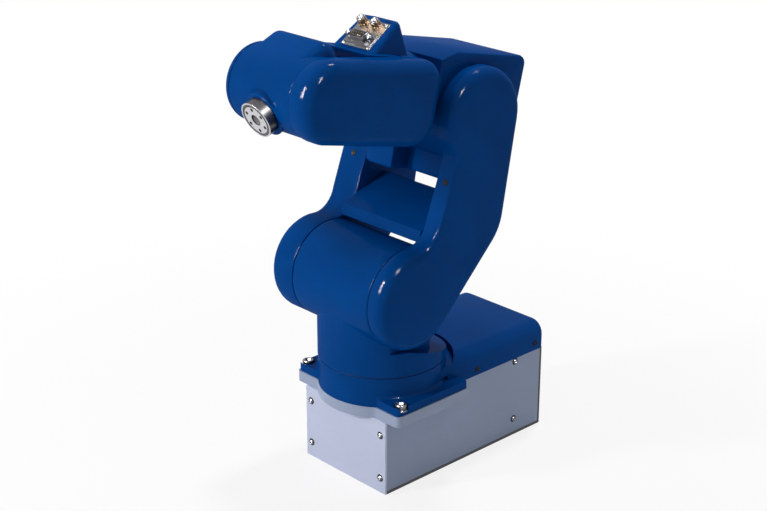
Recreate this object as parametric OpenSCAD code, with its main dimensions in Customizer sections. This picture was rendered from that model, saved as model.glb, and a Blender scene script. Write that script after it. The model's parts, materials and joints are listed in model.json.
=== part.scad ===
// Small six-axis robot arm on a box plinth. Millimetres, +Z up, +X the way the arm reaches.
// The origin is on the swivel axis, at the floor.

/* [Plinth] */
// Width of the plinth box
plinth_w = 105; // [80:1:140]
// Distance from the swivel axis to the plinth's front
plinth_front = 45; // [30:1:56]
// Distance from the swivel axis to the plinth's rear
plinth_rear = 157; // [120:1:220]
// Height of the plinth below the mounting plate
plinth_h = 70; // [50:1:120]
// Thickness of the sheet metal panels
panel_t = 2; // [1:0.5:4]
// Thickness of the bottom plate
foot_t = 3; // [2:0.5:6]
// Wall of the frame inside the panels
frame_wall = 5; // [3:0.5:8]
// Thickness of the mounting plate
deck_t = 10; // [6:1:16]
// Half length of the mounting plate behind the swivel axis
deck_rear = 43; // [40:1:52]
// How far the mounting plate stands out past the panels on each side
deck_overhang = 14.5; // [8:0.5:18]
// Distance from the swivel axis to the front of the mounting plate's corners
deck_front = 43.5; // [40:0.5:46]
// Rounding of the mounting plate's front corners
deck_round = 5; // [2:0.5:8]
// Hollow between the plate's round front and its corners
deck_blend = 8; // [5:0.5:12]

/* [Base casting] */
// Radius of the collar under the turret
collar_r = 57; // [50:0.5:62]
// Height of the collar above the mounting plate
collar_h = 27; // [20:1:40]
// Thickness of the casting's foot flange
flange_t = 7.5; // [5:0.5:12]
// How far the casting's foot stays inside the mounting plate's edge
foot_margin = 1.5; // [0.5:0.5:4]
// Distance of the bolts from the swivel axis along X
bolt_x = 35; // [30:1:38]
// Distance of the bolts from the swivel axis along Y
bolt_y = 61; // [56:0.5:62]
// Radius of the bolt holes in the foot
bolt_hole_r = 3.3; // [2.5:0.1:4]
// Fillet between the collar and the foot
collar_soft = 4; // [2:0.5:6]
// Room round a bolt hole for the bolt's head
bolt_head_room = 3.2; // [2.5:0.1:4]
// Height of the rear hood
hood_h = 26.5; // [16:0.5:27]
// Rounding along the hood's long edges
hood_round = 13; // [6:1:14]
// How far the hood stands out over the side panels
hood_over = 1; // [0:0.5:2]
// Width of the round recess in the hood's top about the neck
hood_room = 6.5; // [5:0.5:9]
// Clearance between the hood and the casting's foot and collar
hood_fit = 0.3; // [0.2:0.05:0.5]
// Depth of the recess in the hood's top
hood_sink = 7; // [4:0.5:9]
// Height of the seal between collar and turret
seal_h = 1.2; // [1:0.1:3]

/* [Rear ports] */
// Radius of the round power receptacle
receptacle_r = 16; // [12:0.5:20]
// Place of the power receptacle across the rear panel
receptacle_y = 18; // [10:1:26]
// How far the power receptacle stands out of the rear panel
receptacle_out = 6; // [4:0.5:8]
// How far the air inlets stand out of the rear panel
inlet_out = 12; // [10:1:16]
// Radius of an air inlet's body
inlet_r = 5; // [4:0.5:7]
// Spacing of the two air inlets
inlet_pitch = 18; // [14:1:24]
// Place of the air inlets across the rear panel
inlet_y = -26; // [-34:1:-20]
// Height of the ports above the floor
port_z = 42; // [34:1:50]

/* [Shoulder] */
// Distance from the swivel axis to the shoulder axis
shoulder_x = 18; // [10:1:25]
// Height of the shoulder axis above the floor
shoulder_z = 180; // [165:1:210]
// Radius of the turret's round neck
neck_r = 57.5; // [52:0.5:62]
// Radius of the shoulder barrel
barrel_r = 44.4; // [40:0.2:50]
// Half width of the shoulder and elbow barrels
barrel_half = 48; // [42:0.5:54]
// Running gap between a barrel's end and the limb beside it
joint_gap = 0.6; // [0.4:0.1:1]
// Gap under the limbs' discs, over the neck's ledges
ledge_gap = 5.5; // [5:0.5:10]
// Fall of the neck's ledges towards the back
ledge_fall = 16; // [14:0.5:20]

/* [Lower arm] */
// Distance from the shoulder axis to the elbow axis
arm_len = 165; // [160:1:190]
// Lean of the lower arm behind the vertical
arm_lean = 28.2; // [0:0.1:40]
// Thickness of the left limb
left_limb_t = 17.5; // [14:0.5:24]
// Thickness of the right limb
right_limb_t = 31; // [20:0.5:34]
// Radius of the limbs' upper end
limb_top_r = 43.5; // [42:0.5:50]
// Rounding of the limbs' outer edges
limb_round = 10; // [6:0.5:13]
// Rounding of the limbs' front edge at the waist
front_round = 1.6; // [1:0.2:4]
// Tilt of the limbs' straight front edge before the line between the axes
front_tilt = 8; // [4:0.5:12]
// Distance of the bend's centre behind the shoulder axis, square to the front edge
bend_back = 35; // [20:1:40]
// Height of the bend's centre above the shoulder axis, along the front edge
bend_up = 79; // [70:1:95]
// Radius of the outer bend
bend_r = 46; // [40:1:52]
// Distance of the left limb's front edge before the shoulder axis, square to the edge
left_waist = 0; // [-6:0.5:8]
// Distance of the right limb's front edge before the shoulder axis, square to the edge
right_waist = -9; // [-12:0.5:4]
// Radius of the hollow between the lower disc and the waist
hollow_r = 25; // [18:1:32]
// Radius of the hollow between the waist and the upper disc
throat_r = 14; // [10:1:24]
// Thickness of the cross web
web_t = 44; // [30:1:50]
// Distance of the web's lower front edge before the line between the two axes
web_front = 9.5; // [6:0.5:10]
// Height above the shoulder axis where the web's front starts to slope back
web_knee = 57; // [52:0.5:58]
// Slope of the web's upper front
web_slope = 39; // [39:0.5:45]
// Gap between the shoulder barrel and the cross web
web_gap = 3; // [2:0.5:6]
// Least thickness of the cross web at its top
web_crest = 4; // [2:0.5:8]

/* [Upper arm] */
// Pitch of the forearm above the horizontal
fore_pitch = 12.3; // [-20:0.1:40]
// Height of the forearm's roll axis above the elbow axis
roll_off = 6.5; // [0:0.5:8]
// Radius of the elbow barrel
elbow_r = 41.5; // [38:0.5:44]
// Radius of the round neck that carries the forearm
roll_r = 38; // [32:0.5:42]
// Distance from the elbow axis to the roll seam
roll_seam = 58.5; // [57:0.5:62]
// Half width of the motor box
box_half = 43.6; // [34:0.2:46]
// Length of the motor box behind the elbow axis
box_rear = 63; // [52:1:68]
// Height of the motor box's top above the elbow axis
box_top = 52; // [46:1:56]
// Distance from the elbow axis to the motor box's front
box_front = 43; // [40:0.5:43.5]
// Depth of the motor box below the elbow axis
box_low = 31; // [26:1:34]
// Rounding of the motor box's edges
box_round = 3; // [2:0.5:7]
// Depth of the housing that hangs between the limbs, below the elbow axis
hang_depth = 61; // [50:1:70]
// Distance of the hanging housing's front before the elbow axis
hang_front = 28; // [20:1:32]
// Distance of the hanging housing's back behind the elbow axis
hang_rear = 18; // [14:1:26]
// Distance of the hanging housing's near side from the arm's middle
hang_side = 36; // [30:1:43]
// Place of the step in the hanging housing's front, across the arm
hang_split = -10; // [-20:1:0]
// Distance of the housing's stepped part before the elbow axis
hang_step = 8; // [2:1:14]
// Clearance between swinging pieces
swing_gap = 5; // [5:0.5:8]

/* [Forearm] */
// Distance from the elbow axis to the wrist axis
fore_len = 162.8; // [155:0.2:190]
// Distance from the roll axis to the inner face of the side arm
side_in = 35.2; // [32:0.2:40]
// Thickness of the side arm
side_t = 23; // [18:0.5:28]
// Radius of the side arm's front end
side_front_r = 34; // [30:0.5:38]
// Height of the side arm's rear top above the roll axis
side_top = 38; // [34:0.5:42]
// Depth of the side arm's rear below the roll axis
side_low = 35; // [30:0.5:38]
// Rounding of the side arm's rear upper corner
side_crown = 18; // [15:1:24]
// Rounding of the side arm's rear lower corner
side_heel = 26; // [22:1:34]
// Rounding of the side arm's outer edge
side_round = 13; // [8:0.5:16]
// How far the forearm's ring reaches past the side arm's inner face
ring_seat = 3.8; // [2:0.2:6]
// Clearance of the side arm around the round neck
neck_room = 2; // [1:0.5:4]
// How far the side arm reaches back past the roll seam
side_back = 9.5; // [6:0.5:10]
// Half height of the forearm's centre casting
core_half = 37; // [32:0.5:40]
// Radius kept free for the wrist's swing
wrist_room = 55; // [52:0.5:60]
// Height of the connector housing's ridge above the roll axis
ridge_h = 63; // [56:1:70]
// Size of the connector plate across the arm
conn_w = 34; // [26:1:38]
// Size of the connector plate up its slope
conn_l = 30; // [26:1:32]
// Half width of the connector housing's foot
conn_half = 22; // [20:0.5:26]
// Width of the data connector across the arm
dsub_w = 30.8; // [28:0.2:33]
// Height of the data connector up the slope
dsub_l = 12; // [10:0.5:13]
// Spacing of the two air fittings
fitting_pitch = 16; // [13:0.5:18]
// Radius of an air fitting
fitting_r = 4; // [3:0.5:4.5]
// Slope of the connector plate, measured from the forearm
conn_slope = 47; // [35:1:55]

/* [Wrist] */
// Pitch of the tool flange below the horizontal
tool_down = 23.5; // [0:0.5:60]
// Radius of the wrist barrel
wrist_r = 33; // [29:0.5:36]
// Distance from the roll axis to the wrist barrel's far end
wrist_far = 40; // [34:1:46]
// Depth of the wrist's far cap
cap_t = 7; // [4:0.5:10]
// How far the wrist block stands behind the wrist barrel
block_past = 3; // [1:0.5:5]
// Depth of the wrist block below the wrist axis
block_low = 24; // [20:1:28]
// Rounding of the wrist block's near end
block_round = 10; // [4:0.5:12]
// Distance from the wrist axis to the flange face
tool_reach = 41; // [38:0.5:48]
// Radius of the tool flange
tool_r = 16; // [14:0.5:18]
// How far the tool flange stands out of the wrist
tool_out = 9; // [6:0.5:11]
// Circle of the tool bolts
tool_pcd = 20; // [18:0.5:24]
// Radius of the tool bolt holes
tool_hole_r = 1.6; // [1.2:0.1:2]
// Depth of the tool bolt holes
tool_hole_depth = 5; // [4:0.5:6]
// Radius of the pilot bore in the flange
pilot_r = 5; // [4:0.5:6]
// Depth of the pilot bore
pilot_depth = 4; // [3:0.5:5]

/* [Hidden] */
$fn = 72;
blue = [0.02, 0.2, 0.48];
metal = [0.72, 0.73, 0.76];
dark = [0.12, 0.12, 0.13];
eps = 0.01;
far = 400;

deck_z = plinth_h + deck_t;
half_w = plinth_w / 2;
deck_half = half_w + deck_overhang;
collar_top = deck_z + collar_h;
neck_z = collar_top + seal_h;
limb_in = barrel_half + joint_gap;
ledge_z = shoulder_z - barrel_r - ledge_gap;
riser_x = -(deck_rear + 3);
rear_t = 2.5;

elbow = [shoulder_x - arm_len * sin(arm_lean), 0, shoulder_z + arm_len * cos(arm_lean)];
wrist = elbow + fore_len * [cos(fore_pitch), 0, sin(fore_pitch)]
    + roll_off * [-sin(fore_pitch), 0, cos(fore_pitch)];
front_r = collar_r + 0.5;
hang_swing = norm([hang_front, hang_depth]) + swing_gap;
limb_cut = 40;
side_out = side_in + side_t;
core_rear = roll_seam + 10;
conn_base_x = 100.8;
block_rear = wrist_r + block_past;
ring_r = side_in + ring_seat;
conn_foot = core_half - 3;
conn_soft = 4;
conn_run = (ridge_h - conn_soft - conn_foot) / tan(conn_slope);
conn_mid = [conn_base_x - conn_run / 2, 0, (conn_foot + ridge_h - conn_soft) / 2];
plate_t = 2;
plate_up = 0.5;
inner_round = 0.8;

// Points along an arc from angle a0 to a1
function arc(c, r, a0, a1, n = 6) = [for (i = [0:n])
    let (a = a0 + (a1 - a0) * i / n) c + r * [cos(a), sin(a)]];
// An arc's points without the first, for one that runs on from another arc
function rest_of(pts) = [for (i = [1:len(pts) - 1]) pts[i]];
// An arc's points without the last
function drop_last(pts) = [for (i = [0:len(pts) - 2]) pts[i]];
// Outward normal of one edge of an outline that runs anticlockwise
function edge_normal(a, b) = let (d = (b - a) / norm(b - a)) [d[1], -d[0]];
// The same rounding for each of n points, or the list as given
function each_of(r, n) = is_list(r) ? r : [for (i = [1:n]) r];
// Steps that make up a rounded edge
function steps_for(r) = max(r) > 3 ? 6 : max(r) > 0 ? 2 : 0;
// Angle of one step round an edge
function edge_turn(i, n) = n == 0 ? 90 : 90 * i / n;
// One ring of a rounded edge: the outline moved in and up by each point's own rounding
function edge_ring(pts, r, a) = let (n = len(pts)) [for (i = [0:n - 1])
    let (u = edge_normal(pts[(i + n - 1) % n], pts[i]), v = edge_normal(pts[i], pts[(i + 1) % n]),
        p = pts[i] - r[i] * (1 - sin(a)) * (u + v) / (1 + u * v))
    [p[0], p[1], r[i] * (1 - cos(a))]];
// The two triangles of one patch between rings of n points
function patch(j, i, n) = let (a = j * n + i, b = j * n + (i + 1) % n) [[a, a + n, b + n], [a, b + n, b]];

// A face's list of points, started at another of them
function started(face, k) = [for (i = [0:len(face) - 1]) face[(i + k) % len(face)]];
// The same face seen from its other side
function turned(face) = [for (i = [0:len(face) - 1]) face[(len(face) - i) % len(face)]];
// Faces of a flat end of n points, in one or cut in two at a narrow place
function end_faces(n, cut) = cut == 0 ? [[for (i = [0:n - 1]) i]] :
    [started([for (i = [0:cut]) i], floor(cut / 5)),
        started([for (i = [cut:n]) i % n], floor((n - cut) * 3 / 4))];

// A slab of the given outline, with its lower and upper edges rounded
module pillow(pts, h, low, top, cut = 0) {
    n = len(pts);
    low_r = each_of(low, n);
    top_r = each_of(top, n);
    low_n = steps_for(low_r);
    top_n = steps_for(top_r);
    last = n * (low_n + top_n + 1);
    points = concat([for (i = [0:low_n]) for (p = edge_ring(pts, low_r, edge_turn(i, low_n))) p],
        [for (i = [top_n:-1:0]) for (p = edge_ring(pts, top_r, edge_turn(i, top_n))) [p[0], p[1], h - p[2]]]);
    sides = [for (j = [0:low_n + top_n]) for (i = [0:n - 1]) for (f = patch(j, i, n)) f];
    ends = end_faces(n, cut);
    upper = [for (f = ends) turned([for (i = f) last + i])];
    polyhedron(points, concat(sides, ends, upper));
}

// Turns a slab drawn in X and Y so that its drawing is in X and Z and its lower face is at y1
module across(y1) { translate([0, y1, 0]) rotate([90, 0, 0]) children(); }
// Turns a shape on the Z axis to lie along Y
module along_y() { rotate([-90, 0, 0]) children(); }
// Turns a shape on the Z axis to lie along X
module along_x() { rotate([0, 90, 0]) children(); }
// Frames of the moving links, as the arm stands
module at_shoulder() { translate([shoulder_x, 0, shoulder_z]) children(); }
module at_arm() { at_shoulder() rotate([0, -arm_lean, 0]) children(); }
module at_elbow() { translate(elbow) rotate([0, -fore_pitch, 0]) children(); }
module at_roll() { at_elbow() translate([0, 0, roll_off]) children(); }
module at_wrist() { translate(wrist) rotate([0, tool_down, 0]) children(); }

// A round drum along Y with soft end edges
module drum(r, y0, y1, soft) {
    translate([0, y0, 0]) along_y() rotate_extrude()
        polygon(concat([[0, 0]], arc([r - soft, soft], soft, -90, 0),
            arc([r - soft, y1 - y0 - soft], soft, 0, 90), [[0, y1 - y0]]));
}

module bottom_plate() {
    color(dark) translate([-plinth_rear + rear_t, -half_w, 0])
        cube([plinth_rear - rear_t + plinth_front - panel_t, plinth_w, foot_t]);
}

module front_panel() {
    color(metal) translate([plinth_front - panel_t, -half_w, 0]) cube([panel_t, plinth_w, plinth_h]);
}

module side_panel() {
    rear = -plinth_rear + rear_t;
    front = plinth_front - panel_t;
    color(metal) across(half_w) linear_extrude(panel_t)
        polygon([[rear, foot_t], [front, foot_t], [front, plinth_h], [riser_x, plinth_h],
            [riser_x, deck_z], [rear, deck_z]]);
}

module left_side_panel() { side_panel(); }
module right_side_panel() { mirror([0, 1, 0]) side_panel(); }

module rear_panel() {
    color(dark) difference() {
        translate([-plinth_rear, -half_w, 0]) cube([rear_t, plinth_w, deck_z]);
        rear_ports(0.1, 0);
    }
}

// Room for the rear ports through the rear panel, made larger by a clearance and running on inside by a depth
module rear_ports(room, depth) {
    translate([-plinth_rear - eps, receptacle_y, port_z]) along_x()
        cylinder(r = receptacle_r + room, h = rear_t + depth + 2 * eps);
    for (k = [-1, 1])
        translate([-plinth_rear - eps, inlet_y, port_z + k * inlet_pitch / 2]) along_x()
            cylinder(r = inlet_r + room, h = rear_t + depth + 2 * eps);
}

module power_receptacle() {
    color(dark) translate([-plinth_rear - receptacle_out, receptacle_y, port_z]) along_x() difference() {
        union() {
            cylinder(r = receptacle_r + 4, h = receptacle_out);
            cylinder(r = receptacle_r, h = receptacle_out + rear_t + 4);
        }
        translate([0, 0, -eps]) cylinder(r = receptacle_r - 2, h = receptacle_out - 1);
    }
}

module air_inlets() {
    nut = inlet_out / 2;
    color("silver") for (k = [-1, 1])
        translate([-plinth_rear - inlet_out, inlet_y, port_z + k * inlet_pitch / 2]) along_x() difference() {
            union() {
                cylinder(r = inlet_r, h = inlet_out + rear_t + 3);
                translate([0, 0, nut]) cylinder(r = inlet_r + 2, h = nut, $fn = 6);
            }
            translate([0, 0, -eps]) cylinder(r = inlet_r - 2, h = inlet_out - 3);
        }
}

module inner_frame() {
    rear = -plinth_rear + rear_t;
    len = plinth_front - panel_t - rear;
    color("gray") difference() {
        translate([rear, panel_t - half_w, foot_t]) cube([len, plinth_w - 2 * panel_t, plinth_h - foot_t]);
        translate([rear + frame_wall + 6, panel_t + frame_wall - half_w, foot_t - eps])
            cube([len - 2 * frame_wall - 6, plinth_w - 2 * (panel_t + frame_wall), plinth_h]);
        rear_ports(1, frame_wall + 6);
    }
}

// Centres of the two front bolts
module at_bolts() {
    for (s = [-1, 1]) translate([bolt_x, s * bolt_y, 0]) children();
}

// The foot's plan: a round front that runs through two hollows into straight corners
module foot_plan(margin) {
    hollow = [deck_front + deck_blend, sqrt(pow(front_r + deck_blend, 2) - pow(deck_front + deck_blend, 2))];
    turn = atan2(hollow[1], hollow[0]);
    half = concat(arc([0, 0], front_r - margin, 0, turn, 12),
        rest_of(arc(hollow, deck_blend + margin, 180 + turn, 180)),
        arc([deck_front - deck_round, deck_half - deck_round], deck_round - margin, 0, 90),
        [[margin - deck_rear, deck_half - margin]]);
    polygon(concat(half, [for (i = [len(half) - 1:-1:1]) [half[i][0], -half[i][1]]]));
}

module mounting_plate() {
    color(metal) difference() {
        translate([0, 0, plinth_h]) linear_extrude(deck_t) foot_plan(0);
        translate([0, 0, plinth_h - eps]) at_bolts() cylinder(r = bolt_hole_r, h = deck_t + 1);
    }
}

module base_casting() {
    color(blue) translate([0, 0, deck_z]) difference() {
        union() {
            linear_extrude(flange_t) foot_plan(foot_margin);
            cylinder(r = collar_r, h = collar_h);
            intersection() {
                translate([0, 0, flange_t]) collar_fillet();
                linear_extrude(collar_h) foot_plan(foot_margin);
            }
        }
        translate([0, 0, -eps]) at_bolts() cylinder(r = bolt_hole_r, h = flange_t + 1);
        translate([0, 0, flange_t - 4]) at_bolts() cylinder(r = bolt_hole_r + bolt_head_room, h = collar_h);
    }
}

// Fillet between the collar and the foot
module collar_fillet() {
    rotate_extrude() polygon(concat([[collar_r - 1, 0]],
        arc([collar_r + collar_soft, collar_soft], collar_soft, 270, 180), [[collar_r - 1, collar_soft]]));
}

module turret_seal() {
    color(dark) translate([0, 0, collar_top]) cylinder(r = collar_r - 1, h = seal_h - 0.4);
}

module rear_hood() {
    len = plinth_rear - deck_rear + 30;
    side = half_w + hood_over;
    shoulder = hood_h - hood_round;
    outline = concat([[-side, 0], [side, 0]], arc([side - hood_round, shoulder], hood_round, 0, 90),
        arc([-side + hood_round, shoulder], hood_round, 90, 180));
    color(blue) difference() {
        translate([-plinth_rear, 0, deck_z]) rotate([90, 0, 90]) pillow(outline, len, 3, 0);
        translate([0, 0, deck_z - 1]) cylinder(r = collar_r + hood_fit, h = far);
        translate([0, 0, collar_top - hood_sink]) cylinder(r = neck_r + hood_room, h = far);
        translate([0, 0, deck_z - 1])
            cylinder(r = collar_r + collar_soft + hood_fit, h = flange_t + collar_soft + 1 + hood_fit);
        translate([0, 0, deck_z - 1]) linear_extrude(flange_t + 1 + hood_fit)
            foot_plan(foot_margin - hood_fit);
        translate([-deck_rear, -far / 2, deck_z - 1]) cube([far, far, flange_t + 1 + hood_fit]);
        translate([-20, -far / 2, deck_z - 1]) cube([far, far, far]);
    }
}

// Side view of the room over the neck's ledges: level in front, falling towards the back
module above_ledge() {
    low = ledge_z - (far + shoulder_x) * tan(ledge_fall);
    polygon([[far, far], [-far, far], [-far, low], [shoulder_x, ledge_z], [far, ledge_z]]);
}

module turret_casting() {
    back = shoulder_x - barrel_r + 12;
    color(blue) {
        at_shoulder() drum(barrel_r, -barrel_half, barrel_half, 1.5);
        difference() {
            translate([0, 0, neck_z]) cylinder(r = neck_r, h = shoulder_z - neck_z);
            for (s = [-1, 1]) across(s * (far / 2 + barrel_half - 2) + far / 2)
                linear_extrude(far) above_ledge();
            across(far / 2) linear_extrude(far) intersection() {
                above_ledge();
                translate([back - far, 0]) square(far);
            }
        }
    }
}

// Frame of a limb's side view: its straight front edge runs along Z
module at_limb() { at_arm() rotate([0, front_tilt, 0]) children(); }

// Side view of a limb from a point of its outer bend: two discs, and a straight waist in front
function limb_outline(waist) =
    let (bend = [-bend_back, bend_up], top = arm_len * [-sin(front_tilt), cos(front_tilt)], lift = top - bend,
        low_tan = atan2(bend[1], bend[0]) + acos((barrel_r - bend_r) / norm(bend)),
        top_tan = atan2(lift[1], lift[0]) + acos((bend_r - limb_top_r) / norm(lift)),
        mid = (low_tan + top_tan) / 2,
        hollow = [waist + hollow_r, sqrt(pow(barrel_r + hollow_r, 2) - pow(waist + hollow_r, 2))],
        hollow_a = atan2(hollow[1], hollow[0]),
        throat_x = waist + throat_r,
        throat = [throat_x, top[1] - sqrt(pow(limb_top_r + throat_r, 2) - pow(throat_x - top[0], 2))],
        throat_a = atan2(top[1] - throat[1], top[0] - throat[0]))
    concat(arc(bend, bend_r, mid, low_tan, 4), arc([0, 0], barrel_r, low_tan, 360 + hollow_a, 28),
        rest_of(arc(hollow, hollow_r, hollow_a + 180, 180, 8)), arc(throat, throat_r, 180, throat_a, 6),
        rest_of(arc(top, limb_top_r, throat_a - 180, top_tan, 28)),
        drop_last(arc(bend, bend_r, top_tan, mid, 4)));

// Rounding at each point of a limb's outline: full round the discs and the back, small along the waist
function limb_edges() =
    let (change = limb_round - front_round)
    concat([for (i = [1:34]) limb_round], [for (i = [1:8]) limb_round - change * i / 8],
        [for (i = [1:7]) front_round], [for (i = [1:28]) front_round + change * min(1, i / 10)],
        [for (i = [1:4]) limb_round]);

module left_limb() {
    color(blue) at_limb() across(limb_in + left_limb_t)
        pillow(limb_outline(left_waist), left_limb_t, limb_edges(), inner_round, limb_cut);
}

module right_limb() {
    color(blue) at_limb() across(-limb_in)
        pillow(limb_outline(right_waist), right_limb_t, inner_round, limb_edges(), limb_cut);
}

module cross_web() {
    low = barrel_r + web_gap;
    back = web_front - web_t;
    knee = [web_front + (web_knee - low) * tan(front_tilt), web_knee];
    top = arm_len - box_rear - swing_gap;
    // The slope ends at the top, or upright where the web is down to its least thickness
    crest = web_knee + (knee[0] - back - web_crest) / tan(web_slope);
    slope_end = min(top, crest);
    face = knee[0] - (slope_end - web_knee) * tan(web_slope);
    color(blue) at_arm() across(limb_in) linear_extrude(2 * limb_in) difference() {
        polygon(concat([[back, low], [web_front, low], knee, [face, slope_end]],
            slope_end < top ? [[face, top]] : [], [[back, top]]));
        translate([0, arm_len]) circle(r = hang_swing);
    }
}

module elbow_housing() {
    color(blue) at_elbow() {
        drum(elbow_r, -barrel_half, barrel_half, 1.5);
        translate([0, 0, roll_off]) along_x() cylinder(r = roll_r, h = roll_seam);
    }
}

module elbow_core(room) {
    drum(elbow_r + room, -far / 2, far / 2, 1);
    translate([0, 0, roll_off]) along_x() cylinder(r = roll_r + room, h = far);
}

// Underside of the motor box, from its back to its front
function box_floor() = [[-box_rear + 2, -box_low / 2], [-box_rear + 14, -box_low], [9, -box_low],
    [box_front, 0]];

module motor_box() {
    soft = 8;
    outline = concat(box_floor(), [[box_front, roll_off + roll_r], [box_front - 18, box_top]],
        arc([-box_rear + soft, box_top - soft], soft, 90, 180));
    color(blue) at_elbow() difference() {
        across(box_half) pillow(outline, 2 * box_half, box_round, box_round);
        elbow_core(0.05);
    }
}

// One block of the hanging housing, with its front at x1, from y0 to y1
module hang_block(x1, y0, y1) {
    soft = 4;
    outline = concat([[-hang_rear, -20]], arc([-hang_rear + soft, -hang_depth + soft], soft, 180, 270),
        arc([x1 - soft, -hang_depth + soft], soft, 270, 360), [[x1, -20]]);
    across(y1) pillow(outline, y1 - y0, box_round, box_round);
}

module elbow_cover() {
    color(blue) at_elbow() difference() {
        union() {
            hang_block(hang_front, -box_half, hang_split);
            hang_block(hang_step, -box_half, hang_side);
        }
        elbow_core(0.05);
        across(far / 2) linear_extrude(far) polygon(concat(box_floor(), [[box_front, far], [-far, far]]));
    }
}

// Round body of the forearm's ring, made larger by a clearance
module ring_core(room) {
    translate([roll_seam + joint_gap - room, 0, 0]) along_x()
        cylinder(r = ring_r + room, h = core_rear - roll_seam - joint_gap + room);
}

module forearm_ring() { color(blue) at_roll() ring_core(0); }

module forearm_casting() {
    soft = 12;
    front = fore_len - wrist_room + 12;
    outline = concat(arc([core_rear + soft, -core_half + soft], soft, 180, 270),
        [[front, -core_half], [front, core_half]], arc([core_rear + soft, core_half - soft], soft, 90, 180));
    color(blue) at_roll() difference() {
        across(side_in) pillow(outline, 2 * side_in, 0, 9);
        translate([fore_len, 0, 0]) drum(wrist_room, -far / 2, far / 2, 1);
    }
}

module side_arm() {
    rear = roll_seam - side_back;
    outline = concat(arc([fore_len, 0], side_front_r, -82, 88, 20),
        arc([rear + side_crown, side_top - side_crown], side_crown, 92, 180, 8),
        arc([rear + side_heel, -side_low + side_heel], side_heel, 180, 262, 8));
    color(blue) at_roll() difference() {
        across(side_out) pillow(outline, side_t, side_round, inner_round);
        along_x() cylinder(r = roll_r + neck_room, h = roll_seam + joint_gap);
        ring_core(0.05);
    }
}

// A ball at each corner of the connector housing, on both sides
module conn_balls(x, half, z) {
    for (s = [-1, 1]) translate([x, s * half, z]) sphere(r = conn_soft, $fn = 32);
}

module connector_housing() {
    ridge = ridge_h - conn_soft;
    color(blue) at_roll() difference() {
        hull() {
            conn_balls(conn_base_x, conn_half, conn_foot);
            conn_balls(core_rear - 2, conn_half, conn_foot);
            conn_balls(conn_base_x - conn_run, conn_half - 4, ridge);
            conn_balls(core_rear + 4, conn_half - 10, ridge);
        }
        forearm_mass();
        at_plate() translate([-conn_l / 2, -conn_w / 2, -plate_t + plate_up]) cube([conn_l, conn_w, 20]);
    }
}

// The forearm's solid pieces under the connector housing
module forearm_mass() {
    translate([0, -far / 2, core_half - far]) cube([far, far, far]);
    ring_core(0.05);
}

// Frame of the connector plate: its face, with +Z out of it and -X up its slope
module at_plate() {
    out = [sin(conn_slope), 0, cos(conn_slope)];
    translate(conn_mid + conn_soft * out) rotate([0, conn_slope, 0]) children();
}

module connector_plate() {
    color("silver") at_roll() at_plate() translate([-conn_l / 2, -conn_w / 2, -plate_t + plate_up])
        cube([conn_l, conn_w, plate_t]);
}

module data_connector() {
    half = dsub_w / 2 - 7;
    color(dark) at_roll() at_plate() translate([6, 0, plate_up]) {
        translate([-dsub_l / 2, -dsub_w / 2, 0]) cube([dsub_l, dsub_w, 1]);
        translate([0, 0, 1]) linear_extrude(5)
            polygon([[-4, -half], [4, 1 - half], [4, half - 1], [-4, half]]);
    }
}

module air_fittings() {
    color("goldenrod") at_roll() at_plate() for (s = [-1, 1])
        translate([-8.5, s * fitting_pitch / 2, plate_up]) difference() {
            union() {
                cylinder(r = fitting_r + 1, h = 4, $fn = 6);
                cylinder(r = fitting_r, h = 8);
            }
            translate([0, 0, 2]) cylinder(r = fitting_r - 1.5, h = 8);
        }
}

module wrist_barrel() {
    seat = tool_reach - tool_out;
    color(blue) at_wrist() difference() {
        union() {
            drum(wrist_r, -wrist_far, side_in - joint_gap, 1);
            along_x() cylinder(r = tool_r + 4, h = seat);
        }
        translate([seat, 0, 0]) along_x() cylinder(r = tool_r + 0.6, h = far);
    }
}

module wrist_housing() {
    soft = block_round + 1;
    low = -block_low;
    near = side_in - 6;
    outline = concat(arc([-block_rear + soft, low + soft], soft, 180, 270), [[-2, low], [-2, wrist_r]],
        arc([-block_rear + soft, wrist_r - soft], soft, 90, 180));
    color(blue) at_wrist() difference() {
        across(near) pillow(outline, near + wrist_far - 4, block_round, 4);
        drum(wrist_r + 0.05, -far / 2, far / 2, 1);
    }
}

module wrist_cap() {
    color(blue) at_wrist() translate([0, -wrist_far - cap_t, 0]) along_y() rotate_extrude()
        polygon(concat([[0, 0]], arc([wrist_r - 6, 6], 6, -90, 0), [[wrist_r, cap_t], [0, cap_t]]));
}

module tool_flange() {
    thick = tool_out - 0.3;
    color("silver") at_wrist() translate([tool_reach - thick, 0, 0]) along_x() difference() {
        cylinder(r = tool_r, h = thick);
        translate([0, 0, thick - pilot_depth]) cylinder(r = pilot_r, h = far);
        translate([0, 0, thick - 1.2]) difference() {
            cylinder(r = tool_r - 1.3, h = far);
            cylinder(r = tool_r - 3.6, h = far);
        }
        for (k = [0:5]) rotate(60 * k) translate([tool_pcd / 2, 0, thick - tool_hole_depth])
            cylinder(r = tool_hole_r, h = far);
    }
}

bottom_plate();
front_panel();
left_side_panel();
right_side_panel();
rear_panel();
inner_frame();
mounting_plate();
base_casting();
rear_hood();
turret_seal();
power_receptacle();
air_inlets();
turret_casting();
left_limb();
right_limb();
cross_web();
elbow_housing();
motor_box();
elbow_cover();
forearm_ring();
forearm_casting();
side_arm();
connector_housing();
connector_plate();
data_connector();
air_fittings();
wrist_barrel();
wrist_housing();
wrist_cap();
tool_flange();
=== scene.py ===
"""Looks of a small blue robot arm on a silver box plinth, laid out as a Blender add-on."""

import json
import math

import bmesh
import bpy
from bpy.props import FloatProperty, FloatVectorProperty, PointerProperty
from mathutils import Matrix, Vector


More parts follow.
